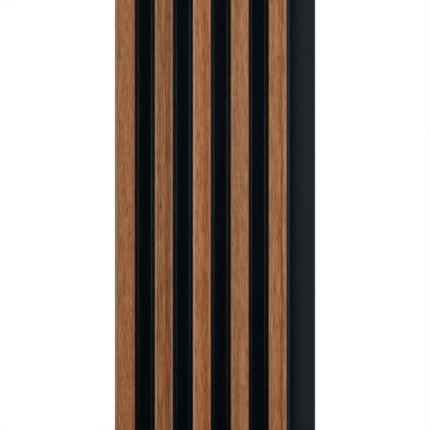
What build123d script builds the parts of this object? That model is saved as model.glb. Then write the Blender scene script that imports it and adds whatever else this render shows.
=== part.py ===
from build123d import *
import os
from math import cos, radians, tan

# A lamella wall panel: a black extruded profile with upright ribs on a thin base, a wood-effect
# film wrapped over each rib, and a lap joint along the two long edges.
# X runs across the ribs, the front faces -Y, the back lies in the plane y = 0, and Z is up.

# Driving dimensions, in millimetres and degrees
panel_length = 300.0  # square-cut length
rib_count = 5
rib_pitch = 22.9
rib_face_width = 10.0  # over the film, between the front corners before they are rounded
rib_height = 9.0  # from the groove floor to the film's face
rib_draft = 15.0  # lean of a wall beside a groove
edge_draft = 12.0  # lean of the first rib's outer wall
rib_corner_radius = 1.2  # over the film
groove_radius = 0.8  # between a rib's wall and the groove floor
base_thickness = 3.0
lip_lap = 7.5  # how far the lip reaches under the next panel's first rib
lip_radius = 0.6
lap_side_clearance = 0.5
lap_depth_clearance = 0.2
glue_channel_width = 6.0
glue_channel_depth = 1.2
relief_radius = 0.4  # inner corners of the rebate and the glue channels
film_thickness = 0.25
film_turn = 1.8  # how far back from its face the film covers a rib's walls

# Sizes that follow from them
panel_depth = base_thickness + rib_height
panel_width = rib_count * rib_pitch + lip_lap
rebate_depth = base_thickness + lap_depth_clearance
rebate_width = lip_lap + lap_side_clearance
outer_wall_depth = panel_depth - rebate_depth
lower_end = Plane.XY.offset(-panel_length / 2)
same_place = 0.001  # corners this near to a depth lie at it


def half_width(depth, draft, skin):
    """Half a rib's width at a depth behind its face, measured on a surface skin deep in the film."""
    lean = radians(draft)
    return rib_face_width / 2 + depth * tan(lean) - skin / cos(lean)


def rib_section(left_draft, skin):
    """A rib's section about x = 0, down to the groove floor, on a surface skin deep in the film."""
    front = skin - panel_depth
    floor = -base_thickness
    with BuildSketch() as rib:
        with BuildLine():
            walls = FilletPolyline(
                (-half_width(rib_height, left_draft, skin), floor),
                (-half_width(skin, left_draft, skin), front),
                (half_width(skin, rib_draft, skin), front),
                (half_width(rib_height, rib_draft, skin), floor),
                radius=rib_corner_radius - skin,
            )
            Line(walls @ 1, walls @ 0)
        make_face()
    return rib.sketch


def corners_at(sketch, y):
    """The corners of a section at one depth, from left to right."""
    return sketch.vertices().filter_by_position(Axis.Y, y - same_place, y + same_place).sort_by(Axis.X)


panel_left = -panel_width / 2
first_rib_x = panel_left + half_width(outer_wall_depth, edge_draft, 0)
rib_centres = [first_rib_x + rib * rib_pitch for rib in range(rib_count)]
left_drafts = [edge_draft] + [rib_draft] * (rib_count - 1)

os.makedirs("parts", exist_ok=True)

# Base profile: base, ribs and lip in one extrusion
with BuildPart() as base_profile:
    with BuildSketch(lower_end) as section:
        with Locations((panel_left, 0)):
            Rectangle(panel_width, base_thickness, align=(Align.MIN, Align.MAX))
        for x, left_draft in zip(rib_centres, left_drafts):
            with Locations((x, 0)):
                add(rib_section(left_draft, film_thickness))
        # Feet of the ribs in the grooves, without the first rib's outer foot and the lip's corner
        fillet(corners_at(section, -base_thickness)[2:-1], groove_radius)
        fillet(section.vertices().group_by(Axis.X)[-1], lip_radius)
        # Rebate behind the first rib, for the lip of the panel on the left
        with Locations((panel_left, 0)):
            Rectangle(rebate_width, rebate_depth, align=(Align.MIN, Align.MAX), mode=Mode.SUBTRACT)
        fillet(corners_at(section, -rebate_depth)[-1], relief_radius)
        # Shallow glue channels behind the other ribs, where the wall is thickest
        with Locations([(x, 0) for x in rib_centres[1:]]):
            Rectangle(
                glue_channel_width, glue_channel_depth, align=(Align.CENTER, Align.MAX), mode=Mode.SUBTRACT
            )
        fillet(corners_at(section, -glue_channel_depth), relief_radius)
    extrude(amount=panel_length)
base_profile.part.label = "base_profile"
export_step(base_profile.part, "parts/base_profile.step")

# Wood-effect film: one wrapped strip on each rib, the first one down its whole outer wall
for number, (x, left_draft) in enumerate(zip(rib_centres, left_drafts), start=1):
    left_turn = outer_wall_depth if number == 1 else film_turn
    with BuildPart() as wood_film:
        with BuildSketch(lower_end):
            with Locations((x, 0)):
                add(rib_section(left_draft, 0))
                add(rib_section(left_draft, film_thickness), mode=Mode.SUBTRACT)
            for side, turn in ((Align.MAX, left_turn), (Align.MIN, film_turn)):
                with Locations((x, turn - panel_depth)):
                    Rectangle(rib_pitch / 2, rib_height, align=(side, Align.MIN), mode=Mode.SUBTRACT)
        extrude(amount=panel_length)
    wood_film.part.label = f"wood_film_{number}"
    export_step(wood_film.part, f"parts/wood_film_{number}.step")
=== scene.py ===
from math import radians
import bpy
from mathutils import Matrix, Vector


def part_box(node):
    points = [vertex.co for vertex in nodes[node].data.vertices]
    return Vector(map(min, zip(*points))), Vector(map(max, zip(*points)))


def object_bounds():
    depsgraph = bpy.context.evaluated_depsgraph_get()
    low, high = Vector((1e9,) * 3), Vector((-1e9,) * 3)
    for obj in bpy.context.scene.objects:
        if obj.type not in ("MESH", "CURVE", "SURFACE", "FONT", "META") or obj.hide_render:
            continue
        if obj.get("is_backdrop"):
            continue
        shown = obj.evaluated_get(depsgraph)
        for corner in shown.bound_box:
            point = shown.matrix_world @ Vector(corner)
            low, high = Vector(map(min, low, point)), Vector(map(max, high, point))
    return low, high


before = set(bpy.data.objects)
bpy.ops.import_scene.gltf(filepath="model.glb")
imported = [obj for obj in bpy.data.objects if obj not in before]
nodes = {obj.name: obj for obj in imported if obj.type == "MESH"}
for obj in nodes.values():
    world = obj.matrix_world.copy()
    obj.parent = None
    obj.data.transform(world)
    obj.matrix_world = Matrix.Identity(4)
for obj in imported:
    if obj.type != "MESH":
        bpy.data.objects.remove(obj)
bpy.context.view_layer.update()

print("frame loaded:", ", ".join(sorted(nodes)))

toMillimetres = 1000.0
stripeFade = 0.5  # how softly a stripe ends, as a share of its half width


class Wire:  # one socket of a node tree; sums written with it add Math nodes
    def __init__(self, tree, port=None):
        self.tree = tree
        self.port = port

    def node(self, kind, settings=None, sockets=None, out=0):
        made = self.tree.nodes.new(kind)
        for name, value in (settings or {}).items():
            if name == "stops":
                self.setStops(made.color_ramp.elements, value)
            else:
                setattr(made, name, value)
        for name, value in (sockets or {}).items():
            if isinstance(value, Wire):
                self.tree.links.new(value.port, made.inputs[name])
            else:
                made.inputs[name].default_value = value
        return Wire(self.tree, made.outputs[out])

    def setStops(self, elements, stops):
        while len(elements) < len(stops):
            elements.new(1.0)
        for element, (position, colour) in zip(elements, stops):
            element.position = position
            element.color = colour

    def out(self, name):  # another output of the same node
        return Wire(self.tree, self.port.node.outputs[name])

    def sum(self, operation, first, second):
        return self.node("ShaderNodeMath", {"operation": operation}, {0: first, 1: second})

    def __add__(self, other):
        return self.sum("ADD", self, other)

    def __radd__(self, other):
        return self.sum("ADD", other, self)

    def __sub__(self, other):
        return self.sum("SUBTRACT", self, other)

    def __rsub__(self, other):
        return self.sum("SUBTRACT", other, self)

    def __mul__(self, other):
        return self.sum("MULTIPLY", self, other)

    def __rmul__(self, other):
        return self.sum("MULTIPLY", other, self)

    def __truediv__(self, other):
        return self.sum("DIVIDE", self, other)

    def __rtruediv__(self, other):
        return self.sum("DIVIDE", other, self)

    def __abs__(self):
        return self.sum("ABSOLUTE", self, 0.0)

    def sign(self):
        return self.sum("SIGN", self, 0.0)

    def over(self, low, high):  # soft step from 0 at low to 1 at high
        return self.node("ShaderNodeMapRange", {"interpolation_type": "SMOOTHSTEP"},
                         {"Value": self, "From Min": low, "From Max": high})

    def colours(self, first, second, blend="MIX"):  # from one colour to another, by this share
        # the Mix node has its colours at inputs 6 and 7 and at output 2
        return self.node("ShaderNodeMix", {"data_type": "RGBA", "blend_type": blend},
                         {0: self, 6: first, 7: second}, out=2)


def between(first, second, share):  # first where the share is 0, second where it is 1
    return first + (second - first) * share


def tint(red, green, blue):  # a screen colour, 0 to 255, as linear light
    steps = [value / 255 for value in (red, green, blue)]
    light = [s / 12.92 if s <= 0.04045 else ((s + 0.055) / 1.055) ** 2.4 for s in steps]
    return (*light, 1.0)


def newMaterial(name):
    material = bpy.data.materials.new(name)
    material.use_nodes = True
    shader = material.node_tree.nodes["Principled BSDF"]
    return material, shader, Wire(material.node_tree)


def feed(wire, shader, sockets):  # links or sets the shader's own sockets
    for name, value in sockets.items():
        if isinstance(value, Wire):
            wire.tree.links.new(value.port, shader.inputs[name])
        else:
            shader.inputs[name].default_value = value


def millimetres(wire):  # the place on the object, in millimetres, as x, y and z
    place = wire.node("ShaderNodeTexCoord", out="Object")
    scaled = wire.node("ShaderNodeVectorMath", {"operation": "SCALE"}, {0: place, "Scale": toMillimetres})
    x = wire.node("ShaderNodeSeparateXYZ", sockets={0: scaled})
    return x, x.out("Y"), x.out("Z")


def streaks(across, along, size, seed, detail=2.0):  # noise drawn out lengthways, from -1 to 1
    width, length = size
    point = across.node("ShaderNodeCombineXYZ", sockets={0: across / width, 1: along / length, 2: seed})
    noise = point.node("ShaderNodeTexNoise", sockets={"Vector": point, "Scale": 1.0, "Detail": detail})
    return noise * 2.0 - 1.0


def stripe(across, middle, half):  # 1 along a line, 0 beside it
    return abs(across - middle).over(half * (1 + stripeFade), half * (1 - stripeFade))


def bump(height, distance):  # a normal that follows a height
    return height.node("ShaderNodeBump", sockets={"Strength": 1.0, "Distance": distance, "Height": height},
                       out="Normal")


# Wood-effect film, one strip to a rib. Offsets, widths and lengths are in millimetres.
film = {
    "face": -12.0,  # where the film's front lies
    "unroll": 0.97,  # surface that goes by for each millimetre down a wall
    "bends": (4.0, 30.0),  # width and length of the grain's bends
    "streaks": [  # width and length, strength, seed
        ((0.8, 50.0), 0.36, 1.3),
        ((0.64, 13.0), 0.55, 2.3),
        ((0.3, 8.0), 0.25, 3.3),
        ((0.1, 5.0), 0.24, 4.3),
    ],
    "pores": {"size": (0.40, 7.0), "seed": 5.1, "shows": (0.28, 0.56), "depth": 0.46, "dull": 0.05},
    "flecks": {"size": (0.42, 4.5), "seed": 7.7, "shows": (0.34, 0.60), "lift": 0.28},
    "hue": {"size": (1.6, 14.0), "seed": 9.4},
    "casts": [  # colour, and the hues over which it comes in
        ((1.10, 0.86, 0.92, 1.0), (0.0, 0.7)),
        ((0.97, 1.02, 0.55, 1.0), (0.1, -0.5)),
    ],
    "corner": {"offset": 5.3, "half": 0.8, "dull": 0.25},  # duller there, and paler by a painted highlight
    "cornerHighlight": (0.45, 0.43, 0.42, 1.0),
    "sides": (-1.0, 1.0),  # left gives way to right
    "specular": 0.62,
    "roughness": 0.30,
    "toneGloss": 0.05,  # the lighter grain is a little glossier
    "relief": 0.00003,
    "reliefShares": (0.4, 0.6),  # of the tone and of the pores
}

# Each rib's own figure. The pale pair is the painted highlight on its left and right corner, and a band
# along it has an offset from the rib's middle, a half width, a lift of the tone and a blush of the hue.
ribs = [
    {
        "seed": 3.7, "sway": 1.2, "stretch": 0.6, "pale": (0.0, 0.05),
        "dark": tint(102, 49, 3), "mid": tint(146, 90, 43), "light": tint(182, 131, 88),
        # the first and the last band, at this rib's edges, are painted shade that holds down its corner
        # highlights
        "bands": [(-4.9, 1.0, -0.2, -0.3), (-0.9, 0.8, -0.04, 0.2),
                  (3.7, 0.9, -0.03, 0.4), (4.7, 0.7, -0.16, 0.0)],
    },
    {
        "seed": 11.2, "sway": 0.4, "stretch": 1.1, "pale": (0.26, 0.2),
        "dark": tint(88, 38, 4), "mid": tint(135, 81, 38), "light": tint(175, 124, 84),
        "bands": [(-3.0, 1.2, -0.02, -0.3), (-0.5, 0.9, 0.10, 0.0), (2.2, 1.5, -0.17, 0.42)],
    },
    {
        "seed": 19.4, "sway": 1.0, "stretch": 0.72, "pale": (0.38, 0.1),
        "dark": tint(108, 51, 2), "mid": tint(153, 94, 43), "light": tint(184, 130, 80),
        "bands": [(-2.6, 1.8, 0.09, 0.1), (2.3, 1.4, -0.19, 0.0), (4.6, 0.8, 0.0, 0.3)],
    },
    {
        "seed": 27.9, "sway": 1.3, "stretch": 0.72, "pale": (0.0, 0.0),
        "dark": tint(103, 54, 14), "mid": tint(148, 96, 56), "light": tint(184, 134, 92),
        "bands": [(-1.9, 1.3, -0.08, 0.3), (2.0, 2.6, 0.05, 0.0)],
    },
    {
        "seed": 36.1, "sway": 0.5, "stretch": 1.0, "pale": (0.02, 0.08),
        "dark": tint(104, 51, 5), "mid": tint(152, 97, 52), "light": tint(190, 139, 96),
        "bands": [(-1.4, 2.0, 0.04, 0.0), (1.2, 1.2, -0.06, 0.0),
                  (2.35, 0.75, -0.19, 0.15), (3.7, 0.7, 0.06, 0.2)],
    },
]


def filmMiddle(number):  # the middle of a strip whose two sides are alike
    low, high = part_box("wood_film_%d" % number)
    return (low.x + high.x) / 2 * toMillimetres


ribPitch = filmMiddle(3) - filmMiddle(2)
firstMiddle = filmMiddle(2) - ribPitch


def spots(across, along, look, seed):  # short marks along the grain
    return streaks(across, along, look["size"], seed + look["seed"], detail=0.0).over(*look["shows"])


def woodFilm(number, rib):
    material, shader, wire = newMaterial("woodFilm%d" % number)
    seed = rib["seed"]
    x, y, z = millimetres(wire)
    along = z / rib["stretch"]
    sideways = x - (firstMiddle + ribPitch * (number - 1))
    flat = sideways + sideways.sign() * (y - film["face"]) * film["unroll"]
    across = flat + streaks(flat, along, film["bends"], seed) * rib["sway"]

    # Tone of the grain, about 0, and its hue
    pores = spots(across, along, film["pores"], seed)
    flecks = spots(across, along, film["flecks"], seed)
    tone = flecks * film["flecks"]["lift"] - pores * film["pores"]["depth"]
    for size, strength, step in film["streaks"]:
        tone = tone + streaks(across, along, size, seed + step) * strength
    hue = streaks(across, along, film["hue"]["size"], seed + film["hue"]["seed"])
    for offset, half, lift, blush in rib["bands"]:
        band = stripe(across, offset, half)
        tone = tone + band * lift
        hue = hue + band * blush

    middle = 0.5  # of the ramp
    stops = [(0.0, rib["dark"]), (middle, rib["mid"]), (1.0, rib["light"])]
    colour = wire.node("ShaderNodeValToRGB", {"stops": stops}, {0: tone + middle})
    for cast, shows in film["casts"]:
        colour = hue.over(*shows).colours(colour, cast, "MULTIPLY")
    # painted highlight: the corners turn paler, by each rib's pale pair
    corner = stripe(abs(flat), film["corner"]["offset"], film["corner"]["half"])
    leftHighlight, rightHighlight = rib["pale"]
    pale = between(leftHighlight, rightHighlight, sideways.over(*film["sides"]))
    colour = (corner * pale).colours(colour, film["cornerHighlight"])

    rough = film["roughness"] + pores * film["pores"]["dull"] - tone * film["toneGloss"]
    toneShare, poreShare = film["reliefShares"]
    feed(wire, shader, {
        "Base Color": colour,
        "Roughness": rough + corner * film["corner"]["dull"],
        "Specular IOR Level": film["specular"],
        "Normal": bump(tone * toneShare - pores * poreShare, film["relief"]),
    })
    return material


for number, rib in enumerate(ribs, start=1):
    nodes["wood_film_%d" % number].material_slots[0].material = woodFilm(number, rib)
print("films:", len(ribs))

# Black profile: satin on the drawn faces, dull where the saw has cut its two ends
plastic = {
    "drawn": (0.0010, 0.0024, 0.0048, 1.0),
    "drawnLight": (0.00115, 0.00276, 0.00552, 1.0),  # the lighter of the die's lines
    # painted light: the lip is given a lighter colour than the grooves, as the open lip is lit where they
    # are shaded
    "lip": (0.0018, 0.0052, 0.0105, 1.0),
    "sawn": (0.042, 0.043, 0.045, 1.0),
    "sawnDark": (0.021, 0.0215, 0.0225, 1.0),  # inside the foam's cells
    "specular": 1.0,
    "sheen": (0.85, 0.95, 1.0, 1.0),  # the faintly blue cast of its gloss
    "roughness": 0.34,
    "lipRoughness": 0.64,  # the lip is duller than the grooves
    "sawnRoughness": 0.75,
    "lipFade": (2.0, 10.0),  # the lip's look, painted light with a duller finish, comes in over this stretch from the last film's edge, leaving painted shade by the last rib
    "foot": {"offset": 1.7, "fade": (1.2, 0.5), "dull": 0.25},  # a duller line at the last rib's foot
    "lines": {"size": (0.35, 220.0), "seed": 2.5, "slant": 0.7, "shows": (-0.6, 0.6)},  # left by the die
    "lineDull": 0.04,
    "lineHeight": 0.35,
    "mottle": {"size": (5.0, 9.0), "seed": 6.5, "dull": 0.05},
    "upward": (0.6, 0.9),  # how far up or down a sawn face looks
    "cells": {"size": 0.42, "shows": (0.1, 0.6)},  # of the foam, in a sawn face
    "kerf": {"size": (0.6, 8.0), "seed": 4.5, "slant": 0.25, "height": 0.6},  # the saw's marks
    "sawnHeight": 2.0,
    "relief": 0.00002,
}
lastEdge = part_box("wood_film_5")[1].x * toMillimetres


def blackProfile():
    material, shader, wire = newMaterial("blackProfile")
    x, y, z = millimetres(wire)
    facing = wire.node("ShaderNodeTexCoord", out="Normal")
    upward = wire.node("ShaderNodeSeparateXYZ", sockets={0: facing}, out="Z")
    cut = abs(upward).over(*plastic["upward"])

    # Drawn faces, and the lip's look: its lighter colour is painted light, with painted shade near the
    # last rib
    look = plastic["lines"]
    lines = streaks(x + y * look["slant"], z, look["size"], look["seed"])
    mottle = streaks(x, z, plastic["mottle"]["size"], plastic["mottle"]["seed"])
    fromFilm = x - lastEdge
    # lip: the lip's painted light, which rises away from the last rib as out of its shade; it also brings
    # in the lip's duller finish
    lip = fromFilm.over(*plastic["lipFade"])
    foot = abs(fromFilm - plastic["foot"]["offset"]).over(*plastic["foot"]["fade"])
    drawn = lines.over(*look["shows"]).colours(plastic["drawn"], plastic["drawnLight"])
    drawn = lip.colours(drawn, plastic["lip"])
    drawnRough = between(plastic["roughness"], plastic["lipRoughness"], lip)
    drawnRough = drawnRough + lines * plastic["lineDull"] + mottle * plastic["mottle"]["dull"]
    drawnRough = drawnRough + foot * plastic["foot"]["dull"]

    # Sawn ends
    point = wire.node("ShaderNodeCombineXYZ", sockets={0: x, 1: y, 2: z})
    cellScale = 1 / plastic["cells"]["size"]
    cells = wire.node("ShaderNodeTexVoronoi", sockets={"Vector": point, "Scale": cellScale})
    look = plastic["kerf"]
    kerf = streaks(x + y * look["slant"], y, look["size"], look["seed"]) * look["height"]
    sawn = cells.over(*plastic["cells"]["shows"]).colours(plastic["sawnDark"], plastic["sawn"])

    height = lines * plastic["lineHeight"] * (1 - cut) + (cells + kerf) * cut * plastic["sawnHeight"]
    feed(wire, shader, {
        "Base Color": cut.colours(drawn, sawn),
        "Roughness": between(drawnRough, plastic["sawnRoughness"], cut),
        "Specular IOR Level": plastic["specular"],
        "Specular Tint": plastic["sheen"],
        "Normal": bump(height, plastic["relief"]),
    })
    return material


nodes["base_profile"].material_slots[0].material = blackProfile()
print("profile done")

# Stage: pale floor under the panel, fading into a white surround
surround = {
    "fill": (0.2, 0.5),  # before the panel, and behind it
    "gloss": (0.005, 0.3),  # what a gloss shows of it
    "turn": (-0.1, 0.3),  # where before gives way to behind
}
floorLook = {
    "size": 6.0,
    "pale": (0.82, 0.82, 0.82, 1.0),
    "roughness": 0.9,
    "glow": 0.5,  # its own share of white under the panel
    "fade": (0.03, 0.11),  # from the panel's edges out to where it is all white
}


def rayKinds(wire):  # camera rays, and those that a gloss or a clear piece sends on
    camera = wire.node("ShaderNodeLightPath", out="Is Camera Ray")
    return camera, camera.sum("MAXIMUM", camera.out("Is Glossy Ray"), camera.out("Is Transmission Ray"))


def frontToBack(y, strengths):
    front, behind = strengths
    return between(front, behind, y.over(*surround["turn"]))


def paleFloor():
    low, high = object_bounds()
    depth = high.y - low.y
    bpy.ops.object.select_all(action="DESELECT")
    bpy.ops.mesh.primitive_plane_add(size=floorLook["size"], location=(0.0, 0.0, low.z))
    floor = bpy.context.object
    floor.name = "floor"
    material, shader, wire = newMaterial("paleFloor")
    feed(wire, shader, {"Base Color": floorLook["pale"], "Roughness": floorLook["roughness"]})
    x = wire.node("ShaderNodeSeparateXYZ", sockets={0: wire.node("ShaderNodeTexCoord", out="Object")})
    y = x.out("Y")
    besideX = (abs(x) - high.x).over(*floorLook["fade"])
    besideY = (abs(y) - depth).over(*floorLook["fade"])
    near = (1 - besideX) * (1 - besideY) * (1 - floorLook["glow"])
    camera, mirrored = rayKinds(wire)
    strength = between(frontToBack(y, surround["gloss"]), 1.0, camera)
    white = wire.node("ShaderNodeEmission", sockets={"Strength": strength})
    whiteShare = camera.sum("MAXIMUM", (1 - near) * camera, mirrored)
    surface = wire.node("ShaderNodeMixShader",
                        sockets={0: whiteShare, 1: Wire(wire.tree, shader.outputs[0]), 2: white})
    wire.tree.links.new(surface.port, wire.tree.nodes["Material Output"].inputs["Surface"])
    floor.data.materials.append(material)
    floor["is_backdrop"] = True


paleFloor()

# Light: a soft lamp on each side, a broad one in front that no gloss shows, and one behind
lamps = {
    "left": {"turn": -65.0, "distance": 1.4, "width": 1.25, "height": 0.8, "power": 12.8, "shines": True},
    "right": {"turn": 62.0, "distance": 1.4, "width": 1.25, "height": 0.8, "power": 8.7, "shines": True},
    "front": {"turn": 0.0, "distance": 1.6, "width": 1.6, "height": 1.6, "power": 23.4, "shines": False},
    "back": {"turn": 145.0, "distance": 1.4, "width": 1.0, "height": 0.9, "power": 8.0, "shines": True},
}


def softLamp(name, look):
    data = bpy.data.lights.new(name, "AREA")
    data.shape = "RECTANGLE"
    data.size = look["width"]
    data.size_y = look["height"]
    data.energy = look["power"]
    lamp = bpy.data.objects.new(name, data)
    bpy.context.scene.collection.objects.link(lamp)
    place = Matrix.Rotation(radians(look["turn"]), 3, "Z") @ Vector((0.0, -look["distance"], 0.0))
    lamp.location = place
    lamp.rotation_euler = (-place).to_track_quat("-Z", "Y").to_euler()
    lamp.visible_camera = False
    lamp.visible_glossy = look["shines"]


for name, look in lamps.items():
    softLamp(name + "Lamp", look)


def whiteSurround():
    world = bpy.data.worlds.new("surround")
    bpy.context.scene.world = world
    world.use_nodes = True
    wire = Wire(world.node_tree)
    sky = world.node_tree.nodes["Background"]
    direction = wire.node("ShaderNodeTexCoord", out="Generated")
    y = wire.node("ShaderNodeSeparateXYZ", sockets={0: direction}, out="Y")
    camera, mirrored = rayKinds(wire)
    strength = between(frontToBack(y, surround["fill"]), frontToBack(y, surround["gloss"]), mirrored)
    feed(wire, sky, {"Color": (1.0, 1.0, 1.0, 1.0), "Strength": between(strength, 1.0, camera)})


whiteSurround()
print("stage and light done")

# Camera, level and a little left of the panel's middle
cameraView = {
    "place": (-0.02707, -0.862, 0.0),
    "aim": (-0.00048, -0.012, 0.0),
    "lens": 118.28,
    "sensor": 36.0,
}


def frontCamera():
    data = bpy.data.cameras.new("frontCamera")
    data.lens = cameraView["lens"]
    data.sensor_width = cameraView["sensor"]
    camera = bpy.data.objects.new("frontCamera", data)
    bpy.context.scene.collection.objects.link(camera)
    camera.location = cameraView["place"]
    look = Vector(cameraView["aim"]) - Vector(cameraView["place"])
    camera.rotation_euler = look.to_track_quat("-Z", "Y").to_euler()
    bpy.context.scene.camera = camera


frontCamera()
bpy.context.scene.view_settings.view_transform = "Standard"
